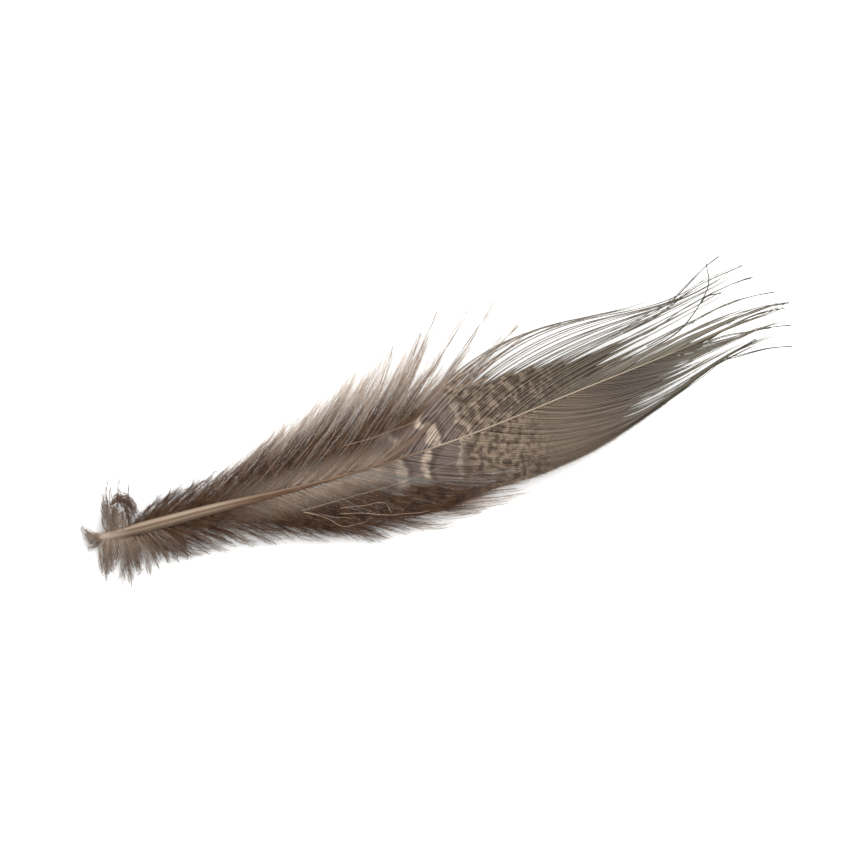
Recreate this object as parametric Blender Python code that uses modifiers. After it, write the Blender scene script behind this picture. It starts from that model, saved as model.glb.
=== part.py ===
# Pheasant rump feather, lying loose on its underside: shaft, vanes, down and loose strands, grown as one.
import math

import bmesh
import bpy
import numpy as np

mm = 0.001

# The feather lies along X, its quill at -X. Every row below is in millimetres and degrees, measured from
# the middle of the line between the quill's tip and the farthest strand, which is 90 mm long.
centreShift = (0.47, -1.15)

# Along the shaft: x, then its sideways bow, its height over the surface and its radius.
shaftRows = [
    (-45, 0.2, 0.75, 0.62), (-42, -0.2, 1.2, 0.82), (-30, -1.55, 3.0, 0.8), (-15, -3.35, 5.7, 0.62),
    (0, -3.85, 7.0, 0.42), (15, -2.95, 7.1, 0.3), (30, -1.75, 6.1, 0.2), (45, 0.0, 4.4, 0.12),
]
shaftSides = 8
shaftStep = 4.5

# A barb leaves the shaft at x with a length, then turns through four headings on its way to its tip, each
# measured outward from the line of the feather. The last value is how far its tip droops, 1 being all the way.
upperBarbs = [
    (-40.7, 7.5, 24, 28, 34, 40, 0.8), (-35.2, 11.5, 20, 24, 30, 38, 0.7), (-30.3, 13.5, 20, 26, 34, 42, 0.6),
    (-25.4, 15.5, 22, 30, 40, 48, 0.6), (-20.5, 17.8, 24, 34, 44, 52, 0.6), (-15.7, 20.5, 26, 34, 44, 50, 0.7),
    (-12.6, 26, 26, 32, 30, 28, 0.5), (-10.2, 40, 28, 28, -3, 2, 0.4), (-7, 49.5, 36, 14, 0, 36, 0.8),
    (-2, 46, 40, 7, 9, 22, 0.8), (4, 41, 46, 2, 14, 4, 0.6), (9, 36, 36, 6, 13, 2, 0.4),
    (13, 33, 31, 5, 9, -10, 0.1), (20, 26, 34, 4, 4, -14, 0), (28, 17.5, 20, 5, 2, 0, 0), (35, 9.6, 10, 3, 1, 0, 0),
]
lowerBarbs = [
    (-40.7, 8, 44, 48, 52, 54, 0.6), (-35.2, 11, 34, 38, 42, 42, 0.7), (-30.3, 14, 32, 34, 37, 42, 0.75),
    (-25.4, 16.5, 41, 41, 27, 42, 0.85), (-20.5, 17.5, 44, 44, 22, 36, 0.9), (-15.7, 24.4, 41, 34, -4, 18, 0.8),
    (-12.6, 29, 34, 26, -8, 6, 0.8), (-10.2, 47, 30, 13, -17, 8, 0.85), (-7, 52, 30, 6, -19, 10, 0.85),
    (-2, 49, 36, 0, -18, 5, 0.8), (4, 43, 39, -5, -14, -4, 0.7), (10, 34.6, 44, -9, -9, -2, 0.6),
    (16, 29.8, 34, -10, -5, -5, 0.5), (22, 23.5, 30, -12, -11, 9, 0.4), (28, 17.2, 22, -6, -4, 4, 0.2),
    (35, 9.6, 12, 2, 0, 0, 0),
]

# How far out from the shaft each side reaches before it would meet the surface.
upperReach = 20
lowerDownReach = 12
lowerVaneReach = 14
reachChange = (-15.7, -9)
roofPower = 1.3
lowestCentre = 0.25

# The coherent sheet that the barbs make beside the shaft: its thickness and how much of each barb it takes in.
sheet = {"thickness": 0.5, "from": -41, "to": 32, "stations": 25, "columns": 4, "down": 0.6, "vane": 0.52}

# The locks that the barbs gather into. Widths are half widths at the root, the middle and the tip.
downLocks = {"from": -40, "to": -13.2, "count": 11, "start": 0.15, "widths": (0.9, 1.25, 0.16)}
vaneLocks = {"from": -11.6, "to": 27, "count": 14, "start": 0.2, "widths": (0.6, 0.6, 0.1)}
lockFlatness = 0.45
lockPoints = 6

# Thin wisps at the upper edge of the down, written like the barbs.
wisps = [
    (-18, 29.5, 0, 38, 49, 55, 0.95), (-16, 29, 8, 34, 46, 41, 0.95), (-14, 29.5, -12, 40, 42, 44, 0.95),
    (-12.5, 28.5, -6, 31, 36, 30, 0.95),
]
wispLocks = {"start": 0.3, "widths": (0.4, 0.42, 0.1)}

# Small curled locks round the quill and strands that cross the rest near the tip: their points, then half widths.
quillTufts = [
    [(-43.8, 0.1, 1.0), (-45.0, 0.9, 2.0), (-45.2, 2.4, 1.6)],
    [(-43.8, 0.1, 0.9), (-45.4, 0.5, 1.4), (-46.2, 1.3, 0.7)],
    [(-43.8, -0.1, 0.8), (-45.6, -0.3, 0.8), (-46.6, -0.4, 0.4)],
    [(-42.2, -0.2, 1.2), (-41.9, 2.2, 2.6), (-41.5, 5.2, 1.6), (-40.5, 8.2, 0.5)],
    [(-41.4, -0.2, 1.3), (-40.9, 1.8, 2.8), (-41.1, 3.8, 2.4), (-40.7, 6.2, 1.2)],
    [(-40.7, -0.3, 1.4), (-40.0, 1.4, 3.0), (-39.8, 3.8, 2.2), (-39.4, 7.1, 0.6)],
    [(-40.0, -0.5, 1.5), (-39.3, 1.0, 2.6), (-39.0, 3.3, 1.8), (-38.5, 6.4, 0.6)],
    [(-41.0, -0.3, 1.3), (-41.7, 0.8, 2.6), (-42.4, 2.4, 2.2), (-42.5, 4.2, 1.2)],
    [(-43.0, -0.2, 1.0), (-44.2, -1.9, 0.9), (-45.4, -4.0, 0.3)],
    [(-42.3, -0.3, 1.0), (-43.2, -2.8, 1.0), (-44.1, -4.7, 0.3)],
    [(-41.5, -0.5, 1.1), (-42.1, -3.2, 1.2), (-42.9, -5.5, 0.3)],
    [(-40.8, -0.6, 1.2), (-40.9, -3.5, 1.2), (-41.4, -5.6, 0.3)],
    [(-39.8, -0.7, 1.3), (-39.4, -3.6, 1.3), (-39.7, -5.7, 0.3)],
    [(-38.8, -0.9, 1.5), (-37.9, -3.7, 1.5), (-37.3, -5.5, 0.3)],
]
tuftWidths = (0.4, 0.6, 0.12)
tipStrands = [
    [(24.5, -0.8, 5.7), (29.0, 0.2, 5.2), (31.4, 1.3, 4.6), (34.2, 3.4, 3.8), (36.3, 5.7, 3.0), (37.2, 8.6, 2.2)],
    [(34.2, 3.4, 3.8), (35.3, 4.0, 3.6), (37.2, 3.9, 3.0)],
    [(33.0, -1.4, 5.8), (39.0, 1.0, 4.6), (44.4, 1.6, 3.6)],
]
strandWidths = (0.22, 0.22, 0.1)


def splineAt(rows, x):
    """Smooth values at x through rows whose first column is where each stands."""
    table = np.array(rows, float)
    at = table[:, 0]
    x = np.clip(np.atleast_1d(np.asarray(x, float)), at[0], at[-1])
    i = np.clip(np.searchsorted(at, x, side="right") - 1, 0, len(at) - 2)
    slope = np.zeros_like(table[:, 1:])
    slope[1:-1] = (table[2:, 1:] - table[:-2, 1:]) / (at[2:] - at[:-2])[:, None]
    slope[0] = (table[1, 1:] - table[0, 1:]) / (at[1] - at[0])
    slope[-1] = (table[-1, 1:] - table[-2, 1:]) / (at[-1] - at[-2])
    width = (at[i + 1] - at[i])[:, None]
    t = (x - at[i])[:, None] / width
    start = (1 + 2 * t) * (1 - t) ** 2 * table[i, 1:] + t * (1 - t) ** 2 * width * slope[i]
    end = t * t * (3 - 2 * t) * table[i + 1, 1:] + t * t * (t - 1) * width * slope[i + 1]
    return start + end


def barbPath(row, side, steps=40):
    """The points of one barb from root to tip, and how far along it each one is."""
    root, length, *headings, droop = row
    t = np.linspace(0, 1, steps + 1)
    turns = list(zip(np.linspace(0, 1, len(headings)), headings))
    heading = np.radians(splineAt(turns, (t[1:] + t[:-1]) / 2)[:, 0])
    x = root + np.concatenate([[0], np.cumsum(np.cos(heading))]) * length / steps
    y = splineAt(shaftRows, root)[0, 0] + side * np.concatenate([[0], np.cumsum(np.sin(heading))]) * length / steps
    return t, np.stack([x, y, roofHeight(x, y, side, root) * (1 - droop * t**3)], 1)


def roofHeight(x, y, side, root):
    """The two sides slope down from the shaft like a roof that grows steeper outward."""
    bow, top = splineAt(shaftRows, x)[:, :2].T
    reach = upperReach if side > 0 else np.interp(root, reachChange, (lowerDownReach, lowerVaneReach))
    out = np.clip(np.abs(y - bow) / reach, 0, 1) ** roofPower
    return top * (1 - out) + lowestCentre * out


def rowAt(rows, root):
    return (root, *splineAt(rows, root)[0])


def moved(points):
    return [((x + centreShift[0]) * mm, (y + centreShift[1]) * mm, z * mm) for x, y, z in points]


def collection(name, hidden):
    made = bpy.data.collections.new(name)
    bpy.context.scene.collection.children.link(made)
    made.hide_render = hidden
    return made


def addMesh(name, mesh, where):
    obj = bpy.data.objects.new(name, mesh)
    where.objects.link(obj)
    if where.hide_render:
        obj.hide_render = True
        obj.display_type = "WIRE"
    return obj


def sweep(name, points, radii, profile, where):
    """A closed solid along the points: the profile, its flat side up, scaled by each radius."""
    curve = bpy.data.curves.new(name, "CURVE")
    curve.dimensions = "3D"
    curve.twist_mode = "Z_UP"
    curve.bevel_mode = "OBJECT"
    curve.bevel_object = profile
    curve.use_fill_caps = True
    spline = curve.splines.new("POLY")
    spline.points.add(len(points) - 1)
    for point, place, radius in zip(spline.points, moved(points), radii):
        point.co = (*place, 1)
        point.radius = radius
    guide = addMesh(name + "Path", curve, where)
    bpy.context.view_layer.update()
    mesh = bpy.data.meshes.new_from_object(guide.evaluated_get(bpy.context.evaluated_depsgraph_get()))
    guide.display_type = "WIRE"
    shell = bmesh.new()
    shell.from_mesh(mesh)
    bmesh.ops.remove_doubles(shell, verts=shell.verts, dist=1e-7)
    bmesh.ops.recalc_face_normals(shell, faces=shell.faces)
    bmesh.ops.triangulate(shell, faces=shell.faces)
    shell.to_mesh(mesh)
    shell.free()
    mesh.name = name
    return addMesh(name, mesh, where)


def profileOf(name, corners, where):
    """A closed outline one millimetre in half width."""
    curve = bpy.data.curves.new(name, "CURVE")
    curve.dimensions = "2D"
    spline = curve.splines.new("POLY")
    spline.points.add(len(corners) - 1)
    for point, (x, y) in zip(spline.points, corners):
        point.co = (x * mm, y * mm, 0, 1)
    spline.use_cyclic_u = True
    return addMesh(name, curve, where)


def lock(name, t, points, widths, profile, where, start=0):
    """One flat lock along a path, from start on, tapering to its tip."""
    at = np.linspace(start, 1, lockPoints)
    places = [[np.interp(a, t, points[:, i]) for i in range(3)] for a in at]
    along = np.linspace(0, 1, lockPoints)
    radii = np.interp(along, (0, 0.45, 1), widths)
    radii = radii * (1 - 0.25 * along**2)
    for place, radius in zip(places, radii):
        place[2] = max(place[2], radius * lockFlatness + 0.02)
    return sweep(name, places, radii, profile, where)


def addSheet(where):
    """The sheet of both sides in one: a grid from edge to edge over the shaft, given its thickness."""
    rows = []
    for root in np.linspace(sheet["from"], sheet["to"], sheet["stations"]):
        taken = np.interp(root, (-16, -10), (sheet["down"], sheet["vane"]))
        row = []
        for side, barbs in ((-1, lowerBarbs), (1, upperBarbs)):
            t, points = barbPath(rowAt(barbs, root), side)
            at = np.linspace(0, taken, sheet["columns"] + 1)
            half = [[np.interp(a, t, points[:, i]) for i in range(3)] for a in at]
            row += half[:0:-1] if side < 0 else half
        rows.append(moved(row))
    mesh = bpy.data.meshes.new("vaneSheet")
    wide = len(rows[0])
    faces = [
        (r * wide + c, (r + 1) * wide + c, (r + 1) * wide + c + 1, r * wide + c + 1)
        for r in range(len(rows) - 1)
        for c in range(wide - 1)
    ]
    mesh.from_pydata([place for row in rows for place in row], [], faces)
    obj = addMesh("vaneSheet", mesh, where)
    solid = obj.modifiers.new("thickness", "SOLIDIFY")
    solid.thickness = sheet["thickness"] * mm
    solid.offset = 0
    obj.modifiers.new("flatFaces", "TRIANGULATE")
    return obj


def addLocks(name, settings, profile, where):
    made = 0
    for side, barbs in ((1, upperBarbs), (-1, lowerBarbs)):
        for root in np.linspace(settings["from"], settings["to"], settings["count"]):
            t, points = barbPath(rowAt(barbs, root), side)
            made += 1
            lock(f"{name}{made:02d}", t, points, settings["widths"], profile, where, settings["start"])


def addStrands(name, strands, widths, profile, where):
    for number, strand in enumerate(strands):
        knots = list(zip(np.linspace(0, 1, len(strand)), *np.array(strand, float).T))
        t = np.linspace(0, 1, 20)
        lock(f"{name}{number:02d}", t, splineAt(knots, t), widths, profile, where)


def featherMaterial():
    material = bpy.data.materials.new("featherBrown")
    material.use_nodes = True
    shader = material.node_tree.nodes["Principled BSDF"]
    shader.inputs["Base Color"].default_value = (0.13, 0.1, 0.08, 1)
    shader.inputs["Roughness"].default_value = 0.75
    return material


for leftover in list(bpy.data.objects):
    bpy.data.objects.remove(leftover, do_unlink=True)

parts = collection("pheasantFeather", False)
guides = collection("guides", True)
locks = collection("locks", True)

ring = [(math.cos(a), math.sin(a)) for a in np.linspace(0, 2 * math.pi, shaftSides, endpoint=False)]
ringProfile = profileOf("ringProfile", ring, guides)
flat = [(1, 0), (0, lockFlatness), (-1, 0), (0, -lockFlatness)]
flatProfile = profileOf("flatProfile", flat, guides)

stations = np.arange(-45, 45 + shaftStep / 2, shaftStep)
line = splineAt(shaftRows, stations)
shaftPoints = [(x, *row[:2]) for x, row in zip(stations, line)]
shaft = sweep("shaftTube", shaftPoints, line[:, 2], ringProfile, guides)

addSheet(locks)
addLocks("downLock", downLocks, flatProfile, locks)
addLocks("vaneLock", vaneLocks, flatProfile, locks)
for number, row in enumerate(wisps):
    t, points = barbPath(row, 1)
    lock(f"wisp{number}", t, points, wispLocks["widths"], flatProfile, locks, wispLocks["start"])
addStrands("quillTuft", quillTufts, tuftWidths, flatProfile, locks)
addStrands("tipStrand", tipStrands, strandWidths, flatProfile, locks)
for path in [obj for obj in locks.objects if obj.type == "CURVE"]:
    locks.objects.unlink(path)
    guides.objects.link(path)

feather = addMesh("feather", shaft.data.copy(), parts)
feather.data.materials.append(featherMaterial())
union = feather.modifiers.new("grownTogether", "BOOLEAN")
union.operation = "UNION"
union.solver = "EXACT"
union.operand_type = "COLLECTION"
union.collection = locks
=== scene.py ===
# A loose pheasant rump feather lying on a pale table: shaft, barbs, barbules, down, tufts and stray hairs.
import math

import bpy
import numpy as np
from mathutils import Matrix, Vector


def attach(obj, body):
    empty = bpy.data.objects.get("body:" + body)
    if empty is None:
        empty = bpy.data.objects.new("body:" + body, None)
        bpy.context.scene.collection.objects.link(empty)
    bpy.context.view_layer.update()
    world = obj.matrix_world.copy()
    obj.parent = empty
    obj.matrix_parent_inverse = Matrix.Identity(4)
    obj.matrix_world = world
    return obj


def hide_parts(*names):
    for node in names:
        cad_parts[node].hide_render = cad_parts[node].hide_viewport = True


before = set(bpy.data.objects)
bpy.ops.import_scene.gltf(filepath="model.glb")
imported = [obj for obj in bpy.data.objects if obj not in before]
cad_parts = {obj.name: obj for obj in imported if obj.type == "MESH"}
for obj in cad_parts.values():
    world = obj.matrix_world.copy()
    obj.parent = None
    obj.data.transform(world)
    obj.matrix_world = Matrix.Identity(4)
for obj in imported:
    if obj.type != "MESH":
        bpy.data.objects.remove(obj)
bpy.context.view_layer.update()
mm = 0.001
body = "root"
halves = ("upper", "lower")

# From here on all is in millimetres and degrees, from the middle of the feather's 90 mm line as in the part.
centreShift = (0.47, -1.15)

# Along the shaft: x, its sideways bow, its height over the table and its radius.
shaftRows = [
    (-45, 0.2, 0.75, 0.25), (-43.5, 0.0, 1.0, 0.5), (-40, -0.5, 1.45, 0.74), (-30, -1.55, 3.0, 0.66),
    (-22, -2.6, 4.5, 0.38), (-15, -3.35, 5.7, 0.18), (0, -3.85, 7.0, 0.1), (15, -2.95, 7.1, 0.09),
    (30, -1.75, 6.1, 0.06), (45, 0.0, 4.4, 0.03),
]
shaftBow = {"curve": 0.00187, "middle": -3.75}  # nearly the same bow, as a parabola for the node trees

# A barb: where it leaves the shaft, its length, four headings outward from the feather's line, its droop.
upperBarbs = [
    (-40.7, 7.5, 24, 28, 34, 40, 0.8), (-35.2, 12.1, 20, 24, 30, 38, 0.7),
    (-30.3, 16.9, 20, 29, 39, 47, 0.6), (-25.4, 20.6, 22, 33, 45, 53, 0.6),
    (-20.5, 23.6, 24, 36, 47, 56, 0.6), (-15.7, 24.8, 26, 34, 44, 52, 0.7),
    (-12.6, 26, 26, 32, 30, 28, 0.5), (-10.2, 38.8, 36, 29, 0, -22, 0.4), (-7, 51.6, 40, 19, -6, 41, 0.8),
    (-2, 47.7, 38, 12, 5, 20, 0.8), (4, 43, 28, 11, 11, 18, 0.6), (9, 36, 20, 10, 12, 6, 0.4),
    (13, 32.6, 15, 9, 7, -4, 0.1), (20, 25.6, 16, 10, 3, -6, 0), (28, 17.3, 12, 8, 4, 0, 0),
    (35, 9.6, 8, 3, 1, 0, 0),
]
lowerBarbs = [
    (-40.7, 7.4, 44, 48, 52, 54, 0.6), (-35.2, 9.8, 34, 38, 40, 36, 0.7),
    (-30.3, 12.8, 32, 34, 36, 38, 0.75), (-25.4, 15.9, 41, 41, 27, 42, 0.85),
    (-20.5, 16.6, 44, 43, 22, 36, 0.9), (-15.7, 24.4, 41, 34, -4, 18, 0.8),
    (-12.6, 29, 34, 26, -8, 6, 0.8), (-10.2, 47, 30, 13, -17, 8, 0.85), (-7, 52, 30, 6, -19, 10, 0.85),
    (-2, 48.2, 30, 3, -19, 6, 0.8), (4, 41.9, 27, 3, -18, 6, 0.7), (10, 34.6, 25, -1, -12, 2, 0.6),
    (16, 29.3, 19, -2, -10, 0, 0.5), (22, 23.5, 14, -3, -9, 2, 0.4), (28, 17.2, 14, -1, -4, 2, 0.2),
    (35, 9.6, 12, 2, 0, 0, 0),
]

# How far out each side slopes down to the table. On the lower side that grows between two places.
roof = {
    "upperReach": 20, "lowerDownReach": 12, "lowerVaneReach": 14, "from": -15.7, "to": -9,
    "power": 1.3, "low": 0.25,
}

# The sheets that the barbs are laid on: between which roots, and in how many rows and columns.
guide = {"from": -42, "to": 36, "rows": 160, "columns": 48, "map": "barb", "edge": 0.0005}


# Smooth values at x through rows whose first column is where each stands.
def splineAt(rows, x):
    table = np.array(rows, float)
    at = table[:, 0]
    x = np.clip(np.atleast_1d(np.asarray(x, float)), at[0], at[-1])
    i = np.clip(np.searchsorted(at, x, side="right") - 1, 0, len(at) - 2)
    slope = np.zeros_like(table[:, 1:])
    slope[1:-1] = (table[2:, 1:] - table[:-2, 1:]) / (at[2:] - at[:-2])[:, None]
    slope[0] = (table[1, 1:] - table[0, 1:]) / (at[1] - at[0])
    slope[-1] = (table[-1, 1:] - table[-2, 1:]) / (at[-1] - at[-2])
    width = (at[i + 1] - at[i])[:, None]
    t = (x - at[i])[:, None] / width
    start = (1 + 2 * t) * (1 - t) ** 2 * table[i, 1:] + t * (1 - t) ** 2 * width * slope[i]
    end = t * t * (3 - 2 * t) * table[i + 1, 1:] + t * t * (t - 1) * width * slope[i + 1]
    return start + end


# The two sides slope down from the shaft like a roof that grows steeper outward.
def roofHeight(x, y, side, root):
    bow, top = splineAt(shaftRows, x)[:, :2].T
    lowerReaches = (roof["lowerDownReach"], roof["lowerVaneReach"])
    lowerReach = np.interp(root, (roof["from"], roof["to"]), lowerReaches)
    reach = roof["upperReach"] if side > 0 else lowerReach
    out = np.clip(np.abs(y - bow) / reach, 0, 1) ** roof["power"]
    return top * (1 - out) + roof["low"] * out


# The points of one barb from root to tip.
def barbPath(row, side, steps):
    root, length, *headings, droop = row
    t = np.linspace(0, 1, steps + 1)
    turns = list(zip(np.linspace(0, 1, len(headings)), headings))
    heading = np.radians(splineAt(turns, (t[1:] + t[:-1]) / 2)[:, 0])
    ahead = np.concatenate([[0], np.cumsum(np.cos(heading))])
    out = np.concatenate([[0], np.cumsum(np.sin(heading))])
    x = root + ahead * length / steps
    y = splineAt(shaftRows, root)[0, 0] + side * out * length / steps
    return np.stack([x, y, roofHeight(x, y, side, root) * (1 - droop * t**3)], 1)


# From these millimetres to the scene's metres.
def placed(points):
    return [((x + centreShift[0]) * mm, (y + centreShift[1]) * mm, z * mm) for x, y, z in points]


# A new object in the scene that holds this data.
def newObject(name, data):
    made = bpy.data.objects.new(name, data)
    bpy.context.scene.collection.objects.link(made)
    return made


# One socket of a node tree. Sums on it add the Math nodes that do them.
class Wire:
    def __init__(self, graph, socket):
        self.graph = graph
        self.socket = socket

    def maths(self, operation, *others):
        values = dict(enumerate((self, *others)))
        return self.graph.node("ShaderNodeMath", {"operation": operation}, values)

    def vectors(self, operation, *others):
        values = dict(enumerate((self, *others)))
        return self.graph.node("ShaderNodeVectorMath", {"operation": operation}, values)

    def scaled(self, amount):
        values = {0: self, "Scale": amount}
        return self.graph.node("ShaderNodeVectorMath", {"operation": "SCALE"}, values)

    def __add__(self, other):
        return self.maths("ADD", other)

    __radd__ = __add__

    def __sub__(self, other):
        return self.maths("SUBTRACT", other)

    def __rsub__(self, other):
        return self.graph.node("ShaderNodeMath", {"operation": "SUBTRACT"}, {0: other, 1: self})

    def __mul__(self, other):
        return self.maths("MULTIPLY", other)

    __rmul__ = __mul__

    def __truediv__(self, other):
        return self.maths("DIVIDE", other)

    def __pow__(self, other):
        return self.maths("POWER", other)

    def other(self, name):
        return Wire(self.graph, self.socket.node.outputs[name])

    def part(self, axis):
        return self.graph.node("ShaderNodeSeparateXYZ", {}, {0: self}, axis)

    # 0 below low and 1 above high, with a smooth step between them.
    def step(self, low, high):
        settings = {"interpolation_type": "SMOOTHSTEP"}
        return self.graph.node("ShaderNodeMapRange", settings, {0: self, 1: low, 2: high, 3: 0, 4: 1})

    # 1 near place, falling to 0 at width on each side of it, from that share of it on.
    def near(self, place, width, core=0.3):
        return 1 - (self - place).maths("ABSOLUTE").step(width * core, width)

    # A random colour as a shift round zero, up to 1 sideways and up to height upward.
    def centred(self, height):
        return self.vectors("SUBTRACT", (0.5, 0.5, 0.5)).vectors("MULTIPLY", (2, 2, height))

    # The same spot, raised where it is less than that many millimetres over the table.
    def keptAbove(self, height):
        z = self.part("Z").maths("MAXIMUM", height * mm)
        return self.graph.vector(self.part("X"), self.part("Y"), z)


class Graph:
    def __init__(self, tree):
        self.tree = tree
        self.sizes = None

    # A node of that kind: its settings first, then the values or links of its sockets.
    def node(self, kind, settings=None, values=None, out=0):
        made = self.tree.nodes.new(kind)
        for name, value in (settings or {}).items():
            setattr(made, name, value)
        for name, value in (values or {}).items():
            if isinstance(value, Wire):
                self.tree.links.new(value.socket, made.inputs[name])
            else:
                made.inputs[name].default_value = value
        return Wire(self, made.outputs[out]) if made.outputs else made

    def size(self, name):
        return Wire(self, self.sizes.outputs[name])

    def named(self, name, kind="FLOAT"):
        settings = {"data_type": kind}
        return self.node("GeometryNodeInputNamedAttribute", settings, {"Name": name}, "Attribute")

    def vector(self, x, y, z):
        return self.node("ShaderNodeCombineXYZ", {}, {0: x, 1: y, 2: z})

    def noise(self, spot, scale, detail=2.0, out=0):
        return self.node("ShaderNodeTexNoise", {}, {"Vector": spot, "Scale": scale, "Detail": detail}, out)

    def random(self, low, seed):
        return self.node("FunctionNodeRandomValue", {"data_type": "FLOAT"}, {2: low, 3: 1.0, 8: seed}, 1)

    def mix(self, share, first, second):
        settings = {"data_type": "RGBA", "clamp_factor": True}
        return self.node("ShaderNodeMix", settings, {0: share, 6: first, 7: second}, 2)


# Geometry Nodes

socketKinds = {
    int: "NodeSocketInt", float: "NodeSocketFloat", bpy.types.Object: "NodeSocketObject",
    bpy.types.Material: "NodeSocketMaterial",
}

# What every tree that grows barbs is given.
pathSizes = {
    "Guide": bpy.types.Object, "Steps": int, "Gather Power": float, "Waves": float, "Sway": float,
    "Sway Power": float, "Open From": float, "Open Out": float, "Tip From": float,
    "Material": bpy.types.Material,
}

# Over how many millimetres the barbs come apart, and how much nearer the shaft they do so toward the tip.
opening = {"along": 8, "out": 2.2, "tip": 12, "nearer": 1.8, "nearerFrom": 6, "nearerTo": 22}

# How far apart two barbs, two hairs and two lines read the noise that sways them.
swayApart = {"barb": 40, "hair": 3.7, "line": 11}

# Over what shares of its length a barb turns bare, opens and tapers, and how far over the table it stays.
blade = {
    "baring": 0.35, "openFrom": 0.02, "openTo": 0.2, "taperFrom": 0.8, "taperTo": 1.02, "taper": 0.85,
    "lowest": 0.12,
}

# Over what shares of a barb its barbules begin and end, the share that an open vane has lost, and how short
# one may be beside the longest.
barbule = {
    "sides": 3, "begin": 0.06, "end": 0.35, "lost": 0.7, "shortest": 0.6, "lowest": 0.08, "nextSeed": 7,
}

# A bundle's hairs part over a share of its length from a narrow root, less upward than sideways.
bundle = {"sides": 3, "parting": 0.35, "rootSpread": 0.05, "upward": 0.7, "lowest": 0.1}


def newTree(name, sizes):
    tree = bpy.data.node_groups.new(name, "GeometryNodeTree")
    tree.interface.new_socket("Geometry", in_out="OUTPUT", socket_type="NodeSocketGeometry")
    tree.interface.new_socket("Geometry", in_out="INPUT", socket_type="NodeSocketGeometry")
    for label, kind in sizes.items():
        tree.interface.new_socket(label, in_out="INPUT", socket_type=socketKinds[kind])
    graph = Graph(tree)
    graph.sizes = tree.nodes.new("NodeGroupInput")
    return graph


# Realizes what was made, gives it its material and ends the tree.
def endTree(graph, geometry):
    real = graph.node("GeometryNodeRealizeInstances", {}, {"Geometry": geometry})
    values = {"Geometry": real, "Material": graph.size("Material")}
    dressed = graph.node("GeometryNodeSetMaterial", {}, values)
    graph.node("NodeGroupOutput", {}, {"Geometry": dressed})
    return graph.tree


def store(graph, geometry, name, value):
    values = {"Geometry": geometry, "Name": name, "Value": value}
    return graph.node("GeometryNodeStoreNamedAttribute", {"data_type": "FLOAT", "domain": "POINT"}, values)


# A spot given in metres in millimetres, with how far along the feather and how far from the shaft it is.
def alongAndOut(metres):
    spot = metres.vectors("MULTIPLY", (1000, 1000, 1000))
    x = spot.part("X") - centreShift[0]
    y = spot.part("Y") - centreShift[1]
    bow = (x * x) * shaftBow["curve"] + shaftBow["middle"]
    return spot, x, (y - bow).maths("ABSOLUTE")


# 1 where the vane's barbs have come apart: beyond a distance from the shaft, and everywhere near the tip.
def openedShare(graph):
    _, x, out = alongAndOut(graph.node("GeometryNodeInputPosition"))
    openFrom = graph.size("Open From")
    tipFrom = graph.size("Tip From")
    nearer = x.step(opening["nearerFrom"], opening["nearerTo"]) * opening["nearer"]
    openOut = graph.size("Open Out") - nearer
    edge = x.step(openFrom, openFrom + opening["along"]) * out.step(openOut, openOut + opening["out"])
    return edge.maths("MAXIMUM", x.step(tipFrom, tipFrom + opening["tip"]))


# The spot of the guide sheet at those shares of its rows and of its columns.
def sheetSpot(graph, across, along):
    sheet = graph.node("GeometryNodeObjectInfo", {}, {"Object": graph.size("Guide")}, "Geometry")
    edge = guide["edge"]
    across = across.maths("MINIMUM", 1 - edge).maths("MAXIMUM", edge)
    along = along.maths("MINIMUM", 1 - edge).maths("MAXIMUM", edge)
    values = {
        "Mesh": sheet, "Value": graph.node("GeometryNodeInputPosition"),
        "Source UV Map": graph.named(guide["map"], "FLOAT_VECTOR"),
        "Sample UV": graph.vector(across, along, 0),
    }
    return graph.node("GeometryNodeSampleUVSurface", {"data_type": "FLOAT_VECTOR"}, values, "Value")


# A smooth random shift.
def swayOf(graph, spot, amount):
    return graph.noise(spot, 1.0, 1.0, "Color").centred(1).scaled(amount)


# One curve for each seed, laid on the guide sheet from the shaft outward and drawn in to its lock.
def growPaths(graph):
    line = graph.node("GeometryNodeCurvePrimitiveLine", {}, {"End": (1, 0, 0)})
    fine = graph.node("GeometryNodeResampleCurve", {}, {"Curve": line, "Count": graph.size("Steps")})
    values = {"Points": graph.size("Geometry"), "Instance": fine}
    copies = graph.node("GeometryNodeInstanceOnPoints", {}, values)
    paths = graph.node("GeometryNodeRealizeInstances", {}, {"Geometry": copies})
    t = graph.node("GeometryNodeSplineParameter", {}, {}, "Factor")
    place = graph.named("place")
    pull = graph.named("gather") * (t ** graph.size("Gather Power"))
    across = place + (graph.named("lock") - place) * pull
    spot = sheetSpot(graph, across, t * graph.named("reach"))
    waves = graph.vector(graph.named("chance") * swayApart["barb"], t * graph.size("Waves"), 0.5)
    amount = (t ** graph.size("Sway Power")) * graph.size("Sway") * mm
    raised = graph.vector(0, 0, graph.named("lift") * mm * (1 - t))
    moved = spot.vectors("ADD", swayOf(graph, waves, amount)).vectors("ADD", raised)
    values = {"Geometry": paths, "Position": moved.keptAbove(blade["lowest"])}
    paths = graph.node("GeometryNodeSetPosition", {}, values)
    paths = graph.node("GeometryNodeSetCurveNormal", {"mode": "Z_UP"}, {"Curve": paths})
    return store(graph, paths, "barbT", t), t


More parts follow.
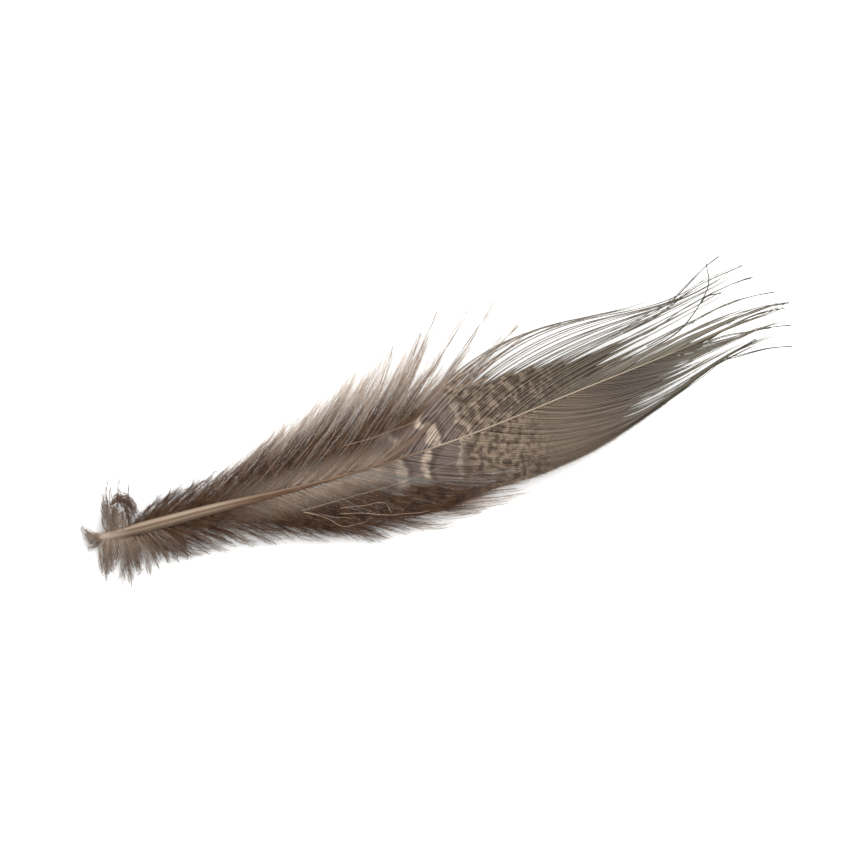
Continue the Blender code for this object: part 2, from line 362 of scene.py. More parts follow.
# Each barb as a flat blade, wide where its barbules hook together and thin where it is bare.
def barbTree():
    widths = {"Closed Width": float, "Half Width": float, "Bare Width": float, "Flatness": float}
    graph = newTree("barbs", {**pathSizes, **widths})
    paths, t = growPaths(graph)
    bareFrom = graph.named("bare")
    bare = t.step(bareFrom, bareFrom + blade["baring"])
    opened = (graph.size("Half Width") - graph.size("Closed Width")) * openedShare(graph)
    width = graph.size("Closed Width") + opened * t.step(blade["openFrom"], blade["openTo"])
    width = width + (graph.size("Bare Width") - width) * bare
    tapered = 1 - t.step(blade["taperFrom"], blade["taperTo"]) * blade["taper"]
    width = width * mm * tapered * graph.named("stout")
    flatness = graph.size("Flatness")
    kite = graph.node("GeometryNodeCurvePrimitiveQuadrilateral", {"mode": "KITE"},
                      {"Width": 2.0, "Bottom Height": flatness, "Top Height": flatness})
    values = {"Curve": paths, "Profile Curve": kite, "Scale": width, "Fill Caps": True}
    return endTree(graph, graph.node("GeometryNodeCurveToMesh", {}, values))


# Barbules: fine needles that leave each barb to both sides.
def barbuleTree():
    graph = newTree("barbules", {
        **pathSizes, "Spacing": float, "Past Bare": float, "Length": float, "Tip Length": float,
        "Angle": float, "Spread": float, "Lift": float, "Thickness": float, "Seed": int,
    })
    paths, _ = growPaths(graph)
    points = graph.node("GeometryNodeCurveToPoints", {"mode": "LENGTH"},
                        {"Curve": paths, "Length": graph.size("Spacing") * mm})
    tangent, sideways = points.other("Tangent"), points.other("Normal")
    t = graph.named("barbT")
    cone = {"Vertices": barbule["sides"], "Radius Top": 0.0, "Radius Bottom": 1.0, "Depth": 1.0}
    needle = graph.node("GeometryNodeMeshCone", {}, cone, "Mesh")
    first = graph.named("start")
    last = graph.named("bare") + graph.size("Past Bare")
    wanted = t.step(first, first + barbule["begin"]) * (1 - t.step(last - barbule["end"], last))
    wanted = wanted * (1 - openedShare(graph) * barbule["lost"])
    groups = graph.node("GeometryNodeJoinGeometry")
    for number, side in enumerate((1, -1)):
        seed = graph.size("Seed") + number * barbule["nextSeed"]
        angle = graph.size("Angle") + graph.random(-1.0, seed) * graph.size("Spread")
        facing = sideways.scaled(angle.maths("SINE") * side)
        facing = facing.vectors("ADD", tangent.scaled(angle.maths("COSINE")))
        length = graph.size("Length") + (graph.size("Tip Length") - graph.size("Length")) * t
        length = length * graph.random(barbule["shortest"], seed + 1) * wanted * mm
        room = (barbule["lowest"] * mm - graph.node("GeometryNodeInputPosition").part("Z")) / length
        rise = facing.part("Z") + graph.random(-1.0, seed + 2) * graph.size("Lift")
        facing = graph.vector(facing.part("X"), facing.part("Y"), rise.maths("MAXIMUM", room))
        turn = graph.node("FunctionNodeAlignRotationToVector", {"axis": "Z"}, {"Vector": facing})
        kept = graph.node("FunctionNodeCompare", {"data_type": "FLOAT", "operation": "GREATER_THAN"},
                          {0: wanted, 1: graph.random(0.0, seed + 3)})
        thick = graph.size("Thickness") * mm
        values = {
            "Points": points, "Instance": needle, "Rotation": turn, "Selection": kept,
            "Scale": graph.vector(thick, thick, length),
        }
        copies = graph.node("GeometryNodeInstanceOnPoints", {}, values)
        graph.tree.links.new(copies.socket, groups.socket.node.inputs[0])
    return endTree(graph, groups)


# Bundles of fine hairs along given lines: tufts, wisps, strands and single hairs.
def bundleTree():
    graph = newTree("bundles", {
        "Hairs": int, "Steps": int, "Spread": float, "Tip Spread": float, "Root": float, "Tip": float,
        "Waves": float, "Sway": float, "Ragged": float, "Seed": int, "Material": bpy.types.Material,
    })
    lines = graph.node("GeometryNodeMeshToCurve", {}, {"Mesh": graph.size("Geometry")})
    lines = graph.node("GeometryNodeResampleCurve", {}, {"Curve": lines, "Count": graph.size("Steps")})
    copies = graph.node("GeometryNodeDuplicateElements", {"domain": "SPLINE"},
                        {"Geometry": lines, "Amount": graph.size("Hairs")})
    number = copies.other("Duplicate Index")
    t = graph.node("GeometryNodeSplineParameter", {}, {}, "Factor")
    strand = graph.named("strand")
    chance = graph.node("ShaderNodeTexWhiteNoise", {"noise_dimensions": "3D"},
                        {"Vector": graph.vector(number, strand, graph.size("Seed"))}, "Color")
    spread = graph.size("Spread") * t.step(0, bundle["parting"]) + bundle["rootSpread"]
    spread = spread * (1 - t) + graph.size("Tip Spread") * t
    shift = chance.centred(bundle["upward"]).scaled(spread * mm)
    cell = number * swayApart["hair"] + strand * swayApart["line"]
    waves = graph.vector(cell, t * graph.size("Waves"), graph.size("Seed"))
    sway = swayOf(graph, waves, t * graph.size("Sway") * mm)
    cut = 1 - chance.part("X") * graph.size("Ragged")
    trimmed = graph.node("GeometryNodeTrimCurve", {"mode": "FACTOR"}, {"Curve": copies, "End": cut})
    where = graph.node("GeometryNodeInputPosition").vectors("ADD", shift).vectors("ADD", sway)
    values = {"Geometry": trimmed, "Position": where.keptAbove(bundle["lowest"])}
    laid = store(graph, graph.node("GeometryNodeSetPosition", {}, values), "barbT", t)
    laid = store(graph, laid, "chance", chance.part("Y"))
    width = (graph.size("Root") + (graph.size("Tip") - graph.size("Root")) * t) * mm
    circle = {"Resolution": bundle["sides"], "Radius": 1.0}
    ring = graph.node("GeometryNodeCurvePrimitiveCircle", {}, circle, "Curve")
    values = {"Curve": laid, "Profile Curve": ring, "Scale": width, "Fill Caps": True}
    return endTree(graph, graph.node("GeometryNodeCurveToMesh", {}, values))


# Runs a tree on its seeds and keeps the result as a plain mesh with the modifier gone.
def grow(name, seeds, tree, values):
    holder = newObject(name + "Seeds", seeds)
    modifier = holder.modifiers.new("grow", "NODES")
    modifier.node_group = tree
    for item in tree.interface.items_tree:
        if item.in_out == "INPUT" and item.name in values:
            modifier[item.identifier] = values[item.name]
    bpy.context.view_layer.update()
    mesh = bpy.data.meshes.new_from_object(holder.evaluated_get(bpy.context.evaluated_depsgraph_get()))
    bpy.data.objects.remove(holder, do_unlink=True)
    mesh.name = name
    piece = newObject(name, mesh)
    mesh.calc_loop_triangles()
    print(name, len(mesh.loop_triangles), "triangles")
    return piece


def finishPiece(piece):
    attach(piece, body)
    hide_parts("feather")


# A sheet that carries the barbs of one side: rows along the shaft, columns outward, with a map of both.
def guideSheet(name, barbs, side):
    roots = np.linspace(guide["from"], guide["to"], guide["rows"])
    rows = splineAt(barbs, roots)
    columns = guide["columns"]
    points = [placed(barbPath((root, *row), side, columns - 1)) for root, row in zip(roots, rows)]
    faces = []
    for r in range(guide["rows"] - 1):
        for c in range(columns - 1):
            here, beside = r * columns + c, (r + 1) * columns + c
            faces.append((here, beside, beside + 1, here + 1))
    mesh = bpy.data.meshes.new(name)
    mesh.from_pydata([place for row in points for place in row], [], faces)
    layer = mesh.uv_layers.new(name=guide["map"])
    corner = np.empty(len(mesh.loops), int)
    mesh.loops.foreach_get("vertex_index", corner)
    spots = np.stack([corner // columns / (guide["rows"] - 1), corner % columns / (columns - 1)], 1)
    layer.data.foreach_set("uv", spots.ravel())
    return newObject(name, mesh)


def placeOf(root):
    return (np.asarray(root) - guide["from"]) / (guide["to"] - guide["from"])


# Seeds are loose points that carry what each barb needs to know.
def seedMesh(name, values):
    mesh = bpy.data.meshes.new(name)
    mesh.from_pydata([(0, 0, 0)] * len(values["place"]), [], [])
    for label, numbers in values.items():
        attribute = mesh.attributes.new(label, "FLOAT", "POINT")
        attribute.data.foreach_set("value", np.asarray(numbers, float))
    return mesh


# How much chance changes a barb's gather, bare and stout, and how uneven locks are drawn in and shortened.
chances = {
    "gather": (0.7, 1.1), "bare": (-0.05, 0.05), "stout": (0.75, 1.15), "drawn": (-1.2, 1.6),
    "shortened": 0.6, "lockSeed": 100,
}


# Barbs from one root to another. Pairs of a root and a share say: kept, how much of its length a barb keeps;
# ragged, how much of that it may lose by chance; start and bare, where its barbules begin and end; gather,
# how far it is drawn in to the middle of its lock. Locks begin at the given roots, lift is the height of a
# barb's root over the guide sheet, and uneven is how much one lock differs from another.
def barbSeeds(name, settings):
    dice = np.random.default_rng(settings["seed"])
    lockDice = np.random.default_rng(settings["seed"] + chances["lockSeed"])
    count = settings["count"]
    roots = np.linspace(settings["from"], settings["to"], count)
    roots = roots + dice.uniform(-0.5, 0.5, count) * settings["jitter"]
    edges = np.array(settings["locks"], float)
    lock = np.clip(np.searchsorted(edges, roots, side="right") - 1, 0, len(edges) - 2)
    drawn = 1 + settings["uneven"] * lockDice.uniform(*chances["drawn"], len(edges))[lock]
    whole = 1 - settings["uneven"] * chances["shortened"] * lockDice.uniform(0, 1, len(edges))[lock]

    def along(label):
        return np.interp(roots, *zip(*settings[label]))

    return seedMesh(name, {
        "place": placeOf(roots),
        "lock": placeOf((edges[lock] + edges[lock + 1]) / 2),
        "gather": along("gather") * dice.uniform(*chances["gather"], count) * drawn,
        "bare": along("bare") + dice.uniform(*chances["bare"], count),
        "reach": along("kept") * whole
        * (1 - along("ragged") * dice.uniform(0, 1, count) ** settings["raggedPower"]),
        "start": along("start"),
        "lift": dice.uniform(*settings["lift"], count),
        "stout": dice.uniform(*chances["stout"], count),
        "chance": dice.uniform(0, 1, count),
    })


# Listed lines, as a mesh of edges, each with its own number.
def lineMesh(name, lines, steps=24):
    points, edges, numbers = [], [], []
    for number, line in enumerate(lines):
        knots = list(zip(np.linspace(0, 1, len(line)), *np.array(line, float).T))
        start = len(points)
        points += placed(splineAt(knots, np.linspace(0, 1, steps)))
        edges += [(start + k, start + k + 1) for k in range(steps - 1)]
        numbers += [number] * steps
    mesh = bpy.data.meshes.new(name)
    mesh.from_pydata(points, edges, [])
    mesh.attributes.new("strand", "FLOAT", "POINT").data.foreach_set("value", np.asarray(numbers, float))
    return mesh


# Materials

softGloss = 0.12
hairLook = {"roughness": 0.6, "bright": 0.8, "varied": 0.4}
plumageLook = {"roughness": 0.7, "varied": 0.16}


# A colour as the eye sees it, from 0 to 255, as the shader wants it.
def shade(red, green, blue):
    linear = [((value / 255 + 0.055) / 1.055) ** 2.4 for value in (red, green, blue)]
    return (*linear, 1)


def newMaterial(name):
    material = bpy.data.materials.new(name)
    material.use_nodes = True
    material.node_tree.nodes.clear()
    return material, Graph(material.node_tree)


# Ends a material's nodes with one shader that has these values or links.
def endMaterial(graph, values):
    shader = graph.node("ShaderNodeBsdfPrincipled", {}, {"Specular IOR Level": softGloss, **values})
    graph.node("ShaderNodeOutputMaterial", {}, {"Surface": shader})


def readAttribute(graph, name):
    return graph.node("ShaderNodeAttribute", {"attribute_name": name}, {}, "Fac")


def objectSpot(graph):
    return alongAndOut(graph.node("ShaderNodeTexCoord", {}, {}, "Object"))


def brightened(graph, colour, amount):
    return graph.node("ShaderNodeHueSaturation", {}, {"Value": amount, "Color": colour})


# The olive of the tip is painted sheen: a greenish tone that stands in for the tip's sheen.
plumageColours = {
    "cream": shade(196, 178, 160), "tan": shade(158, 138, 119), "lilac": shade(128, 113, 106),
    "dark": shade(74, 58, 47), "brownGrey": shade(124, 108, 94), "upperDark": shade(85, 74, 61),
    "lowerFar": shade(85, 76, 69), "upperFar": shade(84, 76, 64), "tipOliveSheen": shade(88, 81, 67),
    "rib": shade(204, 196, 182), "down": shade(100, 73, 54), "downDeep": shade(68, 46, 33),
    "downPaleAndBacklit": shade(208, 188, 170), "downInner": shade(174, 154, 137),
}

# Each cream bar across the vane: its place along the feather, its half width and its strength.
bars = {"upper": ((-6.9, 0.7, 0.5), (-2.6, 0.75, 1.0), (1.6, 0.45, 0.5)),
        "lower": ((-7.6, 0.8, 0.7), (-3.8, 0.75, 1.0), (1.3, 0.6, 0.5))}

# Between which millimetres along the feather each change happens, or out from the shaft where it says so.
vaneMarks = {
    "brownGrey": (-3, 4), "upperDark": (5, 11), "far": (12, 24), "oliveSheen": (24, 36), "mottles": (-1, 2),
    "tanFades": (6, 16), "barOut": (4.0, 5.5), "barShadowOut": (4.5, 6), "dots": (0, 6),
}
downMarks = {"whole": (-11, -7), "innerOut": (0.8, 3.4), "inner": (-31, -20), "pale": (-34, -16)}
# The down's pale tips are partly its own colour and partly painted backlight shining through the thin hairs.
downTones = {
    "deep": (0.35, 0.7), "innerNoise": 0.6, "innerLeast": 0.55, "upperTips": (0.5, 0.98),
    "lowerTips": (0.8, 1.0), "lowerPale": 0.15,
}
halfMarks = {
    "upper": {"mottlesEnd": (8, 19), "dark": 0.62, "tan": 0.95, "dots": 0.3},
    "lower": {"mottlesEnd": (6, 13), "dark": 0.7, "tan": 0.85, "dots": 0.15},
}

# Where the down's brown begins out from the shaft, and until where along it, on each kind of barb.
downFrom = {"upper": ((4.0, 6.0), (-7, 0)), "lower": ((4.6, 6.6), (-4, 5)), "down": ((2.4, 4.4), (-3, 6))}
noises = {"broad": 0.5, "fine": 0.9, "blotch": 1.5, "blotchShift": (17, 5, 3)}

# The bars slant outward, more and more on the lower side, wander with noise and step from barb to barb.
run = {"upperSlant": 0.15, "lowerSlant": 0.7, "lowerTurn": 0.08, "wander": 3.2, "barbStep": 0.7}

# The mottles are noise over faint bands, and the bars have a dark edge toward the tip.
mottles = {
    "bands": 2.7, "bent": 9, "bandShare": 0.3, "blotchShare": 6, "tanFaded": 0.5,
    "darkEdge": (0.0, 0.7), "tanEdge": (0.05, 0.6),
}
barShadow = {"beyond": 1.2, "width": 0.8, "share": 0.5}
dots = {"every": 17.5, "shift": 40, "edge": (-0.2, 0.6)}


# Dark and tan mottles beyond the bars, fading toward the tip.
def mottled(graph, half, base, spot, x, place, fine):
    colours, marks = plumageColours, halfMarks[half]
    blotch = graph.noise(spot.vectors("ADD", noises["blotchShift"]), noises["blotch"])
    bands = (place * mottles["bands"] + (fine - 0.5) * mottles["bent"]).maths("SINE")
    wave = bands * mottles["bandShare"] + (blotch - 0.5) * mottles["blotchShare"]
    share = x.step(*vaneMarks["mottles"]) * (1 - x.step(*marks["mottlesEnd"]))
    base = graph.mix(wave.step(*mottles["darkEdge"]) * share * marks["dark"], base, colours["dark"])
    share = share * (1 - x.step(*vaneMarks["tanFades"]) * mottles["tanFaded"])
    tan = (wave * -1).step(*mottles["tanEdge"]) * share
    return graph.mix(tan * marks["tan"], base, colours["tan"])


# The cream bars, each with a dark edge toward the tip.
def barred(graph, half, base, out, place):
    for middle, width, strength in bars[half]:
        edge = place.near(middle + barShadow["beyond"], barShadow["width"])
        edge = edge * (1 - out.step(*vaneMarks["barShadowOut"])) * barShadow["share"] * strength
        base = graph.mix(edge, base, plumageColours["dark"])
        bar = place.near(middle, width) * (1 - out.step(*vaneMarks["barOut"])) * strength
        base = graph.mix(bar, base, plumageColours["cream"])
    return base


# Brown down, paler beside the shaft and toward its tips, most of all on the upper side; the paler tips are
# partly the hairs' own colour and partly painted backlight shining through them.
def downColour(graph, half, x, out, barbT, fine):
    colours, tones = plumageColours, downTones
    down = graph.mix(fine.step(*tones["deep"]), colours["down"], colours["downDeep"])
    inner = (1 - out.step(*downMarks["innerOut"])) * x.step(*downMarks["inner"])
    inner = inner * (fine * tones["innerNoise"] + tones["innerLeast"])
    down = graph.mix(inner, down, colours["downInner"])
    if half == "upper":
        pale = barbT.step(*tones["upperTips"]) * x.step(*downMarks["pale"])
    else:
        pale = barbT.step(*tones["lowerTips"]) * tones["lowerPale"]
    return graph.mix(pale, down, colours["downPaleAndBacklit"])


# The bars of the vane's inner part, its plain grey-brown beyond and the brown of the down.
def plumageColour(graph, half, kind, barbT, chance):
    colours = plumageColours
    spot, x, out = objectSpot(graph)
    broad = graph.noise(spot, noises["broad"])
    fine = graph.noise(spot, noises["fine"], 1.0)
    slant = run["upperSlant"] if half == "upper" else x * run["lowerTurn"] + run["lowerSlant"]
    place = x + out * slant + (broad - 0.5) * run["wander"] + (chance - 0.5) * run["barbStep"]
    base = graph.mix(x.step(*vaneMarks["brownGrey"]), colours["lilac"], colours["brownGrey"])
    if half == "upper":
        base = graph.mix(x.step(*vaneMarks["upperDark"]), base, colours["upperDark"])
    base = graph.mix(x.step(*vaneMarks["far"]), base, colours[half + "Far"])
    # Toward the tip the vane turns olive: painted sheen.
    base = graph.mix(x.step(*vaneMarks["oliveSheen"]), base, colours["tipOliveSheen"])
    base = mottled(graph, half, base, spot, x, place, fine)
    base = barred(graph, half, base, out, place)
    dotted = (x * dots["every"] + chance * dots["shift"]).maths("SINE").step(*dots["edge"])
    dotted = dotted * x.step(*vaneMarks["dots"])
    base = graph.mix(dotted * halfMarks[half]["dots"], base, colours["dark"])
    outward, along = downFrom["down" if kind == "Down" else half]
    outer = out.step(*outward) * (1 - x.step(*along))
    downShare = (1 - x.step(*downMarks["whole"])).maths("MAXIMUM", outer)
    return graph.mix(downShare, base, downColour(graph, half, x, out, barbT, fine))


ribs = {"pale": (-4, 12), "least": 0.3}


# Each kind of barb has its brightness, and the ribs are paler than the rest, most of all toward the tip.
def plumageMaterial(half, kind, bright, paler):
    material, graph = newMaterial(half + kind)
    barbT = readAttribute(graph, "barbT")
    chance = readAttribute(graph, "chance")
    colour = plumageColour(graph, half, kind, barbT, chance)
    if paler:
        along = objectSpot(graph)[1]
        share = (along.step(*ribs["pale"]) * (1 - ribs["least"]) + ribs["least"]) * paler
        colour = graph.mix(share, colour, plumageColours["rib"])
    lit = brightened(graph, colour, (chance - 0.5) * plumageLook["varied"] + bright)
    endMaterial(graph, {"Base Color": lit, "Roughness": plumageLook["roughness"]})
    return material


def plainHair(name, root, tip):
    material, graph = newMaterial(name)
    colour = graph.mix(readAttribute(graph, "barbT"), shade(*root), shade(*tip))
    amount = (readAttribute(graph, "chance") - 0.5) * hairLook["varied"] + hairLook["bright"]
    lit = brightened(graph, colour, amount)
    endMaterial(graph, {"Base Color": lit, "Roughness": hairLook["roughness"]})
    return material


# The side colour is painted shade: the shaft's lower side is darkened as if in its own shadow.
shaftColours = {
    "side": shade(84, 68, 56), "quill": shade(116, 100, 84), "grooveShade": shade(88, 71, 58),
    "streak": shade(144, 126, 110), "quillEnd": shade(162, 145, 131), "brown": shade(80, 57, 42),
    "brownLitTop": shade(112, 92, 77), "thin": shade(92, 73, 59), "cream": shade(142, 129, 112),
    "tip": shade(84, 78, 64), "grain": shade(112, 92, 76),
}
shaftMarks = {
    "quillEnd": (-45, -40), "brown": (-31, -24), "thin": (-18, -11), "cream": (-7, -1), "tip": (26, 35),
}

# Where each tone lies across the shaft, from -1 on its lower side to 1 on its upper side, with painted shade
# low on it and in its groove and a painted lit top on its brown part, and the grain along it.
shaftBands = {"quill": (-0.75, -0.4), "grooveShade": (-0.1, 0.3), "streak": (0.4, 0.4), "brownLitTop": (-0.1, 0.4)}
grooveShadeShare = 0.8
shaftGrain = {"stretch": (0.25, 3, 3), "edge": (0.4, 0.75), "share": 0.35, "bump": 0.3, "height": 0.05}


# Two pale streaks with a darker line of painted shade between them on the quill, whose lower side is painted
# shade, thinning to brown with a painted lit top and then to a cream line.
def shaftMaterial():
    material, graph = newMaterial("shaftHorn")
    spot, x, _ = objectSpot(graph)
    across = readAttribute(graph, "across")
    grain = graph.noise(spot.vectors("MULTIPLY", shaftGrain["stretch"]), 1.0)
    colours, marks, bands = shaftColours, shaftMarks, shaftBands
    # Painted shade: the quill is darker on its lower side.
    quill = graph.mix(across.step(*bands["quill"]), colours["side"], colours["quill"])
    # Painted shade: the dark line in the groove between the two pale streaks.
    quill = graph.mix(across.near(*bands["grooveShade"]) * grooveShadeShare, quill, colours["grooveShade"])
    quill = graph.mix(across.near(*bands["streak"]), quill, colours["streak"])
    quill = graph.mix(1 - x.step(*marks["quillEnd"]), quill, colours["quillEnd"])
    # Painted light: the brown part of the shaft is lighter on top, over a darker shaded underside.
    brown = graph.mix(across.step(*bands["brownLitTop"]), colours["brown"], colours["brownLitTop"])
    colour = graph.mix(x.step(*marks["brown"]), quill, brown)
    for name in ("thin", "cream", "tip"):
        colour = graph.mix(x.step(*marks[name]), colour, colours[name])
    colour = graph.mix(grain.step(*shaftGrain["edge"]) * shaftGrain["share"], colour, colours["grain"])
    heights = {"Height": grain, "Strength": shaftGrain["bump"], "Distance": shaftGrain["height"] * mm}
    bump = graph.node("ShaderNodeBump", {}, heights)
    endMaterial(graph, {"Base Color": colour, "Roughness": 0.45, "Normal": bump})
    return material


# Stage: camera, table and light

view = {
    "azimuth": -18.9737, "elevation": 75, "distance": 291.084, "target": (-2.002, -0.291, 0),
    "lens": 100, "sensor": 36,
}
stage = {
    "table": 4000, "tableShade": (0.94, 0.94, 0.93, 1), "sky": 0.78, "key": 3.8, "keyAngle": 60,
    "keyFrom": (1.0, 0.35, 1.15), "fill": 1.3, "fillAngle": 50, "fillFrom": (0.6, -1.0, 1.3),
}


def makeCamera():
    turn, rise = math.radians(view["azimuth"]), math.radians(view["elevation"])
    back = Vector((math.sin(turn) * math.cos(rise), -math.cos(turn) * math.cos(rise), math.sin(rise)))
    lens = bpy.data.cameras.new("camera")
    lens.lens = view["lens"]
    lens.sensor_width = view["sensor"]
    lens.clip_start = 0.01
    camera = newObject("camera", lens)
    camera.location = (Vector(view["target"]) + back * view["distance"]) * mm
    camera.rotation_euler = back.to_track_quat("Z", "Y").to_euler()
    bpy.context.scene.camera = camera


def makeTable():
    reach = stage["table"] * mm / 2
    corners = [(-reach, -reach, 0), (reach, -reach, 0), (reach, reach, 0), (-reach, reach, 0)]
    mesh = bpy.data.meshes.new("table")
    mesh.from_pydata(corners, [], [(0, 1, 2, 3)])
    table = newObject("table", mesh)
    material, graph = newMaterial("tablePaper")
    endMaterial(graph, {"Base Color": stage["tableShade"], "Roughness": 0.9})
    mesh.materials.append(material)


def makeLight():
    world = bpy.data.worlds.new("sky")
    bpy.context.scene.world = world
    world.use_nodes = True
    world.node_tree.nodes["Background"].inputs["Color"].default_value = (1, 1, 1, 1)
    world.node_tree.nodes["Background"].inputs["Strength"].default_value = stage["sky"]
    for name in ("key", "fill"):
        sun = bpy.data.lights.new(name, "SUN")
        sun.energy = stage[name]
        sun.angle = math.radians(stage[name + "Angle"])
        lamp = newObject(name, sun)
        lamp.rotation_euler = Vector(stage[name + "From"]).to_track_quat("Z", "Y").to_euler()
    bpy.context.scene.view_settings.view_transform = "Standard"


makeCamera()
makeTable()
makeLight()
print("stage set")

sheets = {
    "upper": guideSheet("upperGuide", upperBarbs, 1),
    "lower": guideSheet("lowerGuide", lowerBarbs, -1),
}
blades, barbules, bundles = barbTree(), barbuleTree(), bundleTree()

# Of each kind of barb: its brightness and how much paler it is.
plumages = {
    "upper": {"Plumage": (0.84, 0), "Barbules": (0.8, 0), "Ribs": (0.92, 0.25), "Down": (0.8, 0)},
    "lower": {"Plumage": (0.84, 0), "Barbules": (0.8, 0), "Ribs": (0.9, 0.14), "Down": (0.8, 0)},
}
materials = {}
for half in halves:
    for kind, looks in plumages[half].items():
        materials[half + kind] = plumageMaterial(half, kind, *looks)
pieces = []

vaneSeeds = {
    "upper": {
        "seed": 11, "from": -10.5, "to": 33, "count": 76, "jitter": 0.5,
        "gather": ((-10.5, 0.05), (-2, 0.2), (2, 0.6), (36, 0.75)),
        "ragged": ((-10.5, 0.3), (-4, 0.35), (4, 0.5), (12, 0.7), (36, 0.7)), "raggedPower": 1,
        "uneven": 0, "lift": (-0.2, -0.12), "kept": ((-13, 0.9), (-9, 1)), "start": ((-13, 0), (36, 0)),
        "bare": ((-13, 0.2), (-4, 0.3), (4, 0.45), (12, 0.6), (36, 0.7)),
        "locks": (-13.5, -12, -10.4, -9, -6.5, -3.5, -0.5, 3, 6.5, 8, 13, 21, 28, 36),
    },
    "lower": {
        "seed": 12, "from": -10.5, "to": 31, "count": 74, "jitter": 0.4,
        "gather": ((-10.5, 0.2), (0, 0.4), (8, 0.6), (36, 0.75)),
        "ragged": ((-10.5, 0.3), (0, 0.4), (6, 0.5), (12, 0.6), (36, 0.65)), "raggedPower": 1,
        "uneven": 0, "lift": (-0.2, -0.12),
        "kept": ((-13, 0.3), (-9, 0.45), (-6.5, 0.7), (-5, 1)), "start": ((-13, 0), (36, 0)),
        "bare": ((-13, 0.45), (4, 0.55), (36, 0.6)),
        "locks": (-13.5, -12, -10, -7, -3, 1, 4, 7, 10, 13, 17, 21, 25, 30, 36),
    },
}
webLift = (-0.32, -0.27)  # the webs lie below the ribs
vanePath = {"Steps": 40, "Waves": 3.0, "Sway": 0.5, "Sway Power": 3.0}
vaneHalves = {
    "upper": {"Gather Power": 1.8, "Open From": 0.0, "Open Out": 4.6, "Tip From": 15.5},
    "lower": {"Gather Power": 2.8, "Open From": 16.0, "Open Out": 3.0, "Tip From": 19.0},
}
vaneWebs = {**vanePath, "Closed Width": 0.3, "Half Width": 0.06, "Bare Width": 0.05, "Flatness": 0.08}
vaneRibs = {**vanePath, "Closed Width": 0.03, "Half Width": 0.035, "Bare Width": 0.035, "Flatness": 0.9}
vaneBarbules = {
    **vanePath, "Spacing": 0.13, "Past Bare": 0.35, "Length": 0.36, "Tip Length": 0.12, "Angle": 0.75,
    "Spread": 0.12, "Lift": 0.2, "Thickness": 0.022, "Seed": 3,
}
for half in halves:
    ribSeeds = barbSeeds(half + "Vane", vaneSeeds[half])
    webSeeds = barbSeeds(half + "Webs", {**vaneSeeds[half], "lift": webLift})
    for label, seeds, tree, settings, kind in (
        ("VaneWebs", webSeeds, blades, vaneWebs, "Plumage"),
        ("VaneRibs", ribSeeds, blades, vaneRibs, "Ribs"),
        ("VaneBarbules", ribSeeds, barbules, vaneBarbules, "Barbules"),
    ):
        values = {**settings, **vaneHalves[half], "Guide": sheets[half], "Material": materials[half + kind]}
        pieces.append(grow(half + label, seeds, tree, values))

# More fine barbs in the loose upper fringe, between those of the vane.
fringeSeeds = {
    "seed": 13, "from": -10.2, "to": 2, "count": 24, "jitter": 0.4, "gather": ((-10.5, 0.05), (2, 0.2)),
    "ragged": ((-10.5, 0.35), (2, 0.5)), "raggedPower": 1, "uneven": 0, "lift": (-0.2, -0.1),
    "kept": ((-13, 1), (2, 1)), "start": ((-13, 0), (2, 0)), "bare": ((-13, 0.2), (2, 0.3)),
    "locks": vaneSeeds["upper"]["locks"],
}
fringeBarbs = {
    **vaneRibs, **vaneHalves["upper"], "Closed Width": 0.016, "Half Width": 0.02, "Bare Width": 0.02,
    "Guide": sheets["upper"], "Material": materials["upperBarbules"],
}
pieces.append(grow("upperFringe", barbSeeds("upperFringe", fringeSeeds), blades, fringeBarbs))

downSeeds = {
    "upper": {
        "seed": 21, "from": -41.5, "to": -9.5, "count": 260, "jitter": 0.8,
        "gather": ((-42, 0.55), (-28, 0.3), (-9, 0.25)),
        "ragged": ((-42, 0.45), (-32, 0.35), (-9, 0.3)), "raggedPower": 2, "uneven": 0.33,
        "lift": (-0.5, 0.1), "kept": ((-42, 1), (-14, 1), (-12, 0.75), (-9.5, 0.4)),
        "start": ((-42, 0), (-13, 0), (-9, 0.2)), "bare": ((-42, 0.5), (-9, 0.4)),
        "locks": (-42, -40.6, -39, -37.8, -36, -34.2, -33, -31.4, -29.6, -28, -26.8, -25, -23.2, -21.8, -20,
                  -18.6, -17, -15.6, -14, -12.4, -11, -9),
    },
    "lower": {
        "seed": 22, "from": -41.5, "to": -7, "count": 280, "jitter": 0.8,
        "gather": ((-42, 0.25), (-24, 0.3), (-7, 0.45)),
        "ragged": ((-42, 0.4), (-32, 0.35), (-7, 0.22)), "raggedPower": 2, "uneven": 0.12,
        "lift": (-0.5, 0.1), "kept": ((-42, 1), (-13, 1), (-10, 0.82), (-7, 0.74)),
        "start": ((-42, 0), (-14, 0), (-12, 0.25), (-7, 0.45)), "bare": ((-42, 0.5), (-7, 0.5)),
        "locks": (-42, -40.2, -38, -36.4, -34, -32.2, -30.6, -28.2, -26.4, -24.2, -22, -20.4, -18.2, -16.4,
                  -14.2, -12.8, -11, -9.2, -7, -6),
    },
}
downPath = {
    "Steps": 18, "Gather Power": 1.4, "Waves": 4.0, "Sway": 1.0, "Sway Power": 1.0, "Open From": 60.0,
    "Open Out": 30.0, "Tip From": 60.0,
}
downBlades = {**downPath, "Closed Width": 0.03, "Half Width": 0.035, "Bare Width": 0.018, "Flatness": 0.8}
downBarbules = {
    **downPath, "Spacing": 0.17, "Past Bare": 0.7, "Length": 1.6, "Tip Length": 0.75, "Angle": 0.42,
    "Spread": 0.35, "Lift": 0.5, "Thickness": 0.016, "Seed": 5,
}
